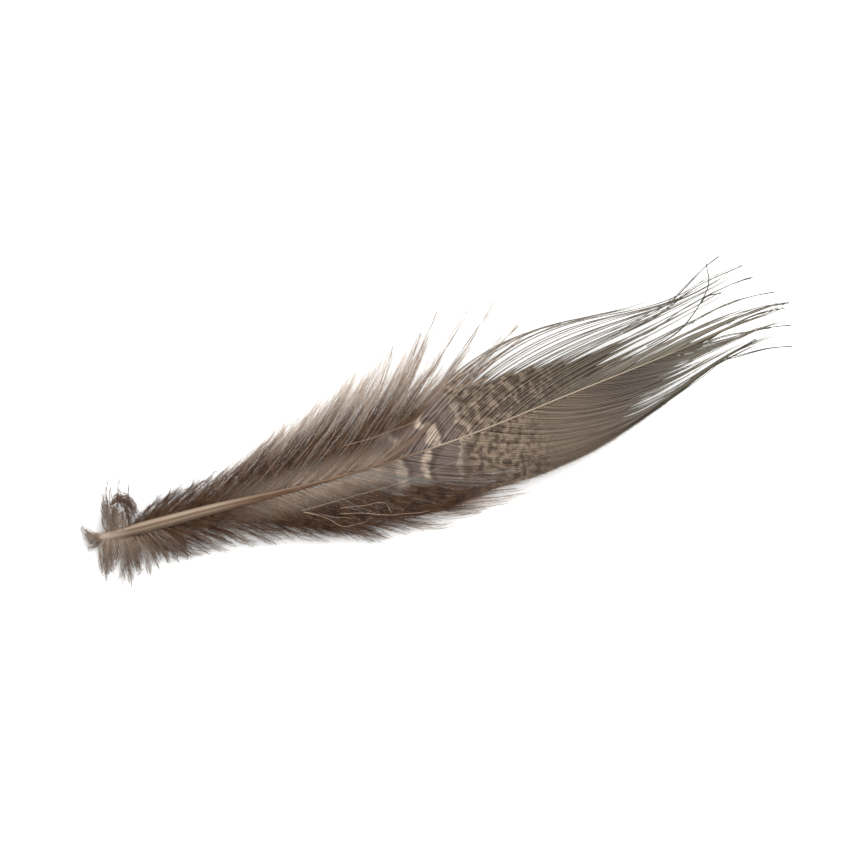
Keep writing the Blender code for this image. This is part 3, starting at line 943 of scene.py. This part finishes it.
for half in halves:
    seeds = barbSeeds(half + "Down", downSeeds[half])
    common = {"Guide": sheets[half], "Material": materials[half + "Down"]}
    pieces.append(grow(half + "DownBarbs", seeds, blades, {**downBlades, **common}))
    pieces.append(grow(half + "DownBarbules", seeds, barbules, {**downBarbules, **common}))
print("barbs grown")


# Lays one bundle of hairs along each line.
def layHairs(name, lines, settings):
    pieces.append(grow(name, lineMesh(name + "Lines", lines), bundles, settings))


def upperLines(rows):
    return [barbPath(row, 1, 11) for row in rows]


# Wisps at the upper edge of the down, written like the barbs.
wisps = [
    (-19.5, 24, 8, 38, 52, 60, 0.9), (-18, 29.6, 0, 38, 48, 54, 0.95), (-17, 25.6, 4, 40, 52, 52, 0.95),
    (-16, 30.2, 8, 34, 44, 41, 0.95), (-15.4, 24, 4, 40, 52, 56, 0.95), (-14, 31.4, -12, 40, 40, 40, 0.95),
    (-13.2, 25, -4, 34, 40, 42, 0.95), (-12.5, 31, -6, 31, 34, 30, 0.95), (-11.5, 26, 2, 30, 36, 34, 0.95),
    (-10.6, 26.5, 8, 28, 30, 24, 0.95),
]
wispHairs = {
    "Hairs": 7, "Steps": 22, "Spread": 0.5, "Tip Spread": 0.14, "Root": 0.05, "Tip": 0.024, "Waves": 2.0,
    "Sway": 0.6, "Ragged": 0.1, "Seed": 1, "Material": plainHair("wispHair", (116, 95, 80), (154, 134, 118)),
}
layHairs("wisps", upperLines(wisps), wispHairs)

# Fine pale hairs at the same edge.
edgeHairLines = [
    (-32, 15, 16, 30, 44, 54, 0.9), (-30, 16.5, 16, 32, 46, 56, 0.9), (-28, 18, 16, 32, 46, 56, 0.9),
    (-26.4, 19.5, 18, 32, 46, 56, 0.9), (-25, 20.4, 16, 34, 48, 58, 0.9),
    (-23.6, 21.6, 14, 36, 50, 62, 0.9), (-22.2, 22.6, 14, 36, 50, 60, 0.9),
    (-20.8, 23.6, 12, 38, 52, 60, 0.9), (-19, 24.4, 10, 38, 52, 58, 0.9),
    (-17.6, 24.6, 8, 38, 50, 58, 0.9), (-16.2, 24.4, 8, 38, 50, 54, 0.9), (-14.6, 24, 8, 34, 46, 50, 0.9),
]
edgeHairs = {
    "Hairs": 8, "Steps": 18, "Spread": 1.0, "Tip Spread": 1.1, "Root": 0.022, "Tip": 0.016, "Waves": 4.0,
    "Sway": 1.4, "Ragged": 0.4, "Seed": 8, "Material": plainHair("edgeHair", (88, 69, 56), (214, 198, 184)),
}
layHairs("edgeHairs", upperLines(edgeHairLines), edgeHairs)

# Pale strands that leave the lower edge past the down. From here on each line is a list of its points.
lowerWisps = [
    [(-8.0, -7.2, 4.6), (-3.0, -9.8, 2.8), (2.0, -11.0, 1.6), (7.2, -11.7, 0.8)],
    [(-9.0, -7.6, 4.4), (-4.0, -10.2, 2.4), (1.0, -11.4, 1.2), (5.9, -12.0, 0.5)],
    [(-10.0, -7.8, 4.2), (-5.5, -10.4, 2.2), (-2.0, -11.5, 1.2), (1.6, -11.9, 0.4)],
    [(-7.0, -7.0, 4.8), (-2.0, -9.2, 3.2), (3.0, -10.4, 2.2), (6.6, -11.1, 1.4)],
    [(-12.0, -8.4, 3.6), (-8.0, -10.8, 1.8), (-5.0, -11.9, 0.8), (-1.4, -12.2, 0.3)],
    [(-9.4, -7.4, 4.6), (-4.4, -9.6, 3.0), (0.0, -10.6, 2.0), (4.0, -11.3, 1.2)],
]
lowerWispHairs = {
    "Hairs": 10, "Steps": 22, "Spread": 0.6, "Tip Spread": 0.22, "Root": 0.035, "Tip": 0.022, "Waves": 3.0,
    "Sway": 0.5, "Ragged": 0.3, "Seed": 9,
    "Material": plainHair("lowerWispHair", (104, 82, 67), (176, 156, 140)),
}
layHairs("lowerWisps", lowerWisps, lowerWispHairs)

# The quill's tufts: three at its end, then those above it and those below it.
quillTufts = [
    [(-44.2, 0.2, 0.9), (-45.4, 0.4, 1.4), (-45.9, 1.7, 1.4), (-45.6, 2.5, 1.2)],
    [(-44.2, 0.0, 0.8), (-45.3, 0.2, 1.1), (-45.6, 1.2, 0.9)],
    [(-44.2, -0.1, 0.8), (-45.2, -0.5, 0.8), (-46.0, -0.6, 0.5)],
    [(-43.2, 0.0, 1.0), (-42.9, 1.8, 2.0), (-42.3, 3.9, 2.6)],
    [(-42.8, -0.1, 1.1), (-42.5, 1.6, 2.2), (-41.9, 3.5, 2.8), (-41.5, 4.2, 2.6)],
    [(-42.3, -0.2, 1.1), (-42.1, 1.2, 2.0), (-41.6, 2.6, 2.6), (-41.0, 3.6, 2.8)],
    [(-41.8, 0.6, 2.0), (-41.3, 1.8, 2.4), (-40.9, 3.2, 2.8)],
    [(-41.1, -0.2, 1.4), (-40.8, 1.0, 2.0), (-40.6, 1.9, 2.4)],
    [(-43.8, -0.2, 1.0), (-44.6, -2.2, 1.0), (-45.2, -4.2, 0.4)],
    [(-43.4, -0.3, 1.0), (-43.9, -2.4, 1.1), (-45.0, -5.2, 0.4)],
    [(-42.8, -0.3, 1.0), (-43.2, -2.4, 1.1), (-44.2, -4.6, 0.4)],
    [(-41.9, -0.4, 1.0), (-42.2, -3.2, 1.2), (-43.6, -6.6, 0.4)],
    [(-41.5, -0.4, 1.0), (-41.6, -3.2, 1.2), (-42.3, -7.0, 0.4)],
    [(-40.9, -0.6, 1.2), (-40.6, -3.2, 1.2), (-41.2, -6.0, 0.4)],
    [(-40.2, -0.7, 1.2), (-39.3, -3.4, 1.3), (-39.7, -6.6, 0.4)],
    [(-39.8, -0.8, 1.3), (-38.6, -3.2, 1.4), (-38.4, -6.2, 0.5)],
    [(-39.0, -0.9, 1.5), (-37.6, -3.2, 1.5), (-37.2, -6.0, 0.6)],
    [(-38.2, -1.0, 1.6), (-36.5, -3.2, 1.6), (-35.9, -6.2, 0.8)],
    [(-37.4, -1.0, 1.7), (-35.5, -3.2, 1.6), (-34.6, -6.0, 0.8)],
    [(-41.2, -0.5, 1.1), (-41.0, -2.6, 1.3), (-40.6, -5.4, 0.6)],
]
tuftHairs = {
    "Hairs": 46, "Steps": 12, "Spread": 0.7, "Tip Spread": 0.5, "Root": 0.026, "Tip": 0.016, "Waves": 3.0,
    "Sway": 0.8, "Ragged": 0.45, "Seed": 2,
    "Material": plainHair("tuftHair", (172, 152, 135), (112, 90, 75)),
}
layHairs("quillTufts", quillTufts, tuftHairs)

# The dark curl beside the upper tuft.
quillCurl = [
    [(-41.8, 3.0, 2.9), (-40.9, 3.6, 3.0), (-40.1, 3.2, 2.8), (-39.8, 2.1, 2.2), (-40.0, 0.8, 1.5),
     (-40.4, -0.3, 1.2)],
    [(-41.1, 3.3, 2.9), (-40.2, 2.9, 2.9), (-39.9, 1.6, 2.2), (-40.2, 0.0, 1.4)],
    [(-40.6, 3.2, 2.9), (-39.9, 2.5, 2.7), (-39.8, 1.2, 1.9), (-40.3, -0.2, 1.3)],
]
curlHairs = {
    "Hairs": 44, "Steps": 14, "Spread": 0.65, "Tip Spread": 0.75, "Root": 0.022, "Tip": 0.016, "Waves": 4.0,
    "Sway": 1.1, "Ragged": 0.4, "Seed": 10, "Material": plainHair("curlHair", (108, 84, 69), (84, 62, 50)),
}
layHairs("quillCurl", quillCurl, curlHairs)

# Thin spikes above the upper tuft.
quillSpikes = [
    [(-42.6, 2.2, 2.6), (-42.2, 4.6, 2.2), (-41.0, 7.7, 1.2)],
    [(-42.0, 2.6, 2.8), (-41.6, 4.6, 2.2), (-41.2, 5.9, 1.6)],
    [(-41.2, 2.8, 2.8), (-40.6, 4.8, 2.0), (-39.8, 6.7, 1.0)],
    [(-40.2, 2.0, 2.6), (-39.5, 4.2, 1.8), (-38.9, 5.9, 1.0)],
    [(-42.8, 2.0, 2.4), (-42.7, 3.8, 2.2), (-42.4, 5.6, 1.8)],
    [(-40.8, 2.8, 2.8), (-40.5, 4.2, 2.2), (-40.4, 5.2, 1.8)],
]
spikeHairs = {
    "Hairs": 7, "Steps": 14, "Spread": 0.3, "Tip Spread": 0.1, "Root": 0.035, "Tip": 0.016, "Waves": 3.0,
    "Sway": 0.3, "Ragged": 0.3, "Seed": 6, "Material": plainHair("spikeHair", (140, 122, 110), (92, 78, 72)),
}
layHairs("quillSpikes", quillSpikes, spikeHairs)

# The strand that crosses the upper tips, and its short twig.
crossing = [
    [(24.5, -0.8, 6.0), (29.0, 0.2, 5.6), (31.4, 1.3, 5.2), (34.2, 3.4, 4.6), (36.3, 5.7, 3.6),
     (37.2, 8.6, 2.4)],
    [(34.2, 3.4, 4.6), (35.3, 4.0, 4.4), (37.2, 3.9, 4.0)],
]
crossingHair = {
    "Hairs": 1, "Steps": 40, "Spread": 0.0, "Tip Spread": 0.0, "Root": 0.11, "Tip": 0.07, "Waves": 2.0,
    "Sway": 0.0, "Ragged": 0.0, "Seed": 7, "Material": plainHair("crossingHair", (84, 78, 64), (74, 70, 58)),
}
layHairs("crossingStrands", crossing, crossingHair)

# The long strands of the tip, from the upper bunch to the lower one.
tipStrands = [
    [(22.5, 2.9, 4.4), (28.2, 4.4, 3.4), (30.9, 5.0, 3.2), (33.9, 6.5, 3.0), (36.9, 8.1, 2.8),
     (39.7, 9.1, 2.6)],
    [(21.5, 1.6, 4.8), (27.4, 2.3, 3.8), (31.7, 3.6, 3.6), (35.6, 4.4, 3.4), (40.0, 4.9, 3.2),
     (42.4, 4.8, 3.1)],
    [(24.0, 3.0, 4.0), (29.4, 4.2, 3.2), (35.2, 6.2, 3.0), (41.8, 6.9, 2.6)],
    [(26.0, 0.2, 5.0), (32.2, 1.5, 4.0), (36.6, 2.3, 3.8), (40.6, 2.4, 3.6), (44.5, 1.9, 3.5)],
    [(26.0, -1.6, 5.6), (33.3, -0.2, 4.6), (37.7, 0.3, 4.3), (41.3, 0.5, 4.1), (45.1, 0.0, 4.0)],
    [(28.0, -1.6, 5.4), (34.0, -0.4, 4.6), (38.2, 0.1, 4.3), (41.9, 0.3, 4.1), (45.0, 0.1, 4.0)],
    [(27.0, -2.2, 5.4), (33.0, -1.3, 4.4), (37.5, -0.4, 4.2), (41.2, -0.1, 4.1), (45.0, -0.6, 4.0)],
    [(28.0, -2.4, 5.0), (34.7, -1.3, 3.8), (39.1, -1.8, 3.6), (41.8, -2.1, 3.5), (44.8, -2.8, 3.4)],
    [(22.7, -7.5, 1.4), (30.2, -4.9, 2.4), (34.1, -3.9, 2.6), (36.9, -4.0, 2.7), (40.4, -4.3, 2.8),
     (43.7, -5.2, 2.9)],
    [(22.7, -7.4, 1.6), (31.7, -4.9, 2.6), (34.2, -3.9, 2.9), (37.8, -3.2, 3.1), (40.3, -2.7, 3.3)],
    [(17.0, -8.9, 1.2), (22.7, -7.5, 1.5), (28.5, -5.8, 1.9), (32.1, -4.6, 2.4), (36.5, -3.4, 2.9)],
    [(16.0, -8.9, 1.2), (22.2, -7.5, 1.6), (28.0, -5.9, 2.0), (33.1, -4.4, 2.6), (39.8, -3.4, 3.0)],
]
strandHairs = {
    "Hairs": 3, "Steps": 40, "Spread": 0.25, "Tip Spread": 0.12, "Root": 0.06, "Tip": 0.042, "Waves": 2.0,
    "Sway": 0.2, "Ragged": 0.08, "Seed": 3, "Material": plainHair("strandHair", (96, 90, 76), (78, 73, 62)),
}
layHairs("tipStrands", tipStrands, strandHairs)

# Single pale hairs that lie on the down.
looseHairs = [
    [(-13.1, -0.3, 7.4), (-9.3, -0.5, 7.4), (-4.7, -0.2, 7.2), (-0.7, 0.4, 6.8)],
    [(-20.4, -5.9, 6.0), (-13.2, -6.5, 7.0), (-6.9, -6.8, 7.3), (0.8, -6.3, 7.4)],
    [(-15.8, -7.2, 6.2), (-13.4, -7.8, 6.6), (-10.9, -8.3, 6.8), (-10.3, -9.6, 6.2)],
    [(-20.2, -6.1, 5.8), (-17.8, -7.7, 5.8), (-16.3, -9.1, 5.2), (-14.0, -9.5, 5.6), (-12.7, -9.4, 6.0)],
    [(-20.2, -6.1, 6.0), (-17.3, -7.7, 6.0), (-15.1, -8.7, 5.8)],
    [(-16.1, -7.8, 6.0), (-13.3, -8.7, 6.2), (-10.3, -9.9, 6.0), (-5.9, -10.8, 5.6)],
]
looseHair = {
    "Hairs": 1, "Steps": 40, "Spread": 0.0, "Tip Spread": 0.0, "Root": 0.024, "Tip": 0.018, "Waves": 5.0,
    "Sway": 0.25, "Ragged": 0.0, "Seed": 4,
    "Material": plainHair("looseHair", (184, 162, 142), (176, 154, 134)),
}
layHairs("looseHairs", looseHairs, looseHair)

shaftMesh = {"halfLength": 45, "rings": 120, "sides": 16, "flatness": 0.85}


# The shaft: a ring swept along its line, with a map of how far across it a point is.
def makeShaft():
    rings, sides = shaftMesh["rings"], shaftMesh["sides"]
    x = np.linspace(-shaftMesh["halfLength"], shaftMesh["halfLength"], rings)
    line = splineAt(shaftRows, x)
    middle = np.stack([x, line[:, 0], line[:, 1]], 1)
    tangent = np.gradient(middle, axis=0)
    tangent /= np.linalg.norm(tangent, axis=1)[:, None]
    sideways = np.cross((0, 0, 1), tangent)
    sideways /= np.linalg.norm(sideways, axis=1)[:, None]
    upward = np.cross(tangent, sideways)
    points, across = [], []
    for k in range(rings):
        for angle in np.linspace(0, 2 * math.pi, sides, endpoint=False):
            out = sideways[k] * math.cos(angle) + upward[k] * math.sin(angle) * shaftMesh["flatness"]
            points.append(middle[k] + out * line[k, 2])
            across.append(math.cos(angle))
    faces = []
    for r in range(rings - 1):
        here, beyond = r * sides, (r + 1) * sides
        for c in range(sides):
            beside = (c + 1) % sides
            faces.append((here + c, here + beside, beyond + beside, beyond + c))
    faces += [tuple(range(sides))[::-1], tuple((rings - 1) * sides + c for c in range(sides))]
    mesh = bpy.data.meshes.new("shaft")
    mesh.from_pydata(placed(points), [], faces)
    mesh.attributes.new("across", "FLOAT", "POINT").data.foreach_set("value", np.asarray(across))
    mesh.shade_smooth()
    mesh.materials.append(shaftMaterial())
    return newObject("shaft", mesh)


pieces.append(makeShaft())
for sheet in sheets.values():
    bpy.data.objects.remove(sheet, do_unlink=True)
for piece in pieces:
    finishPiece(piece)
print("pieces dressed:", len(pieces))
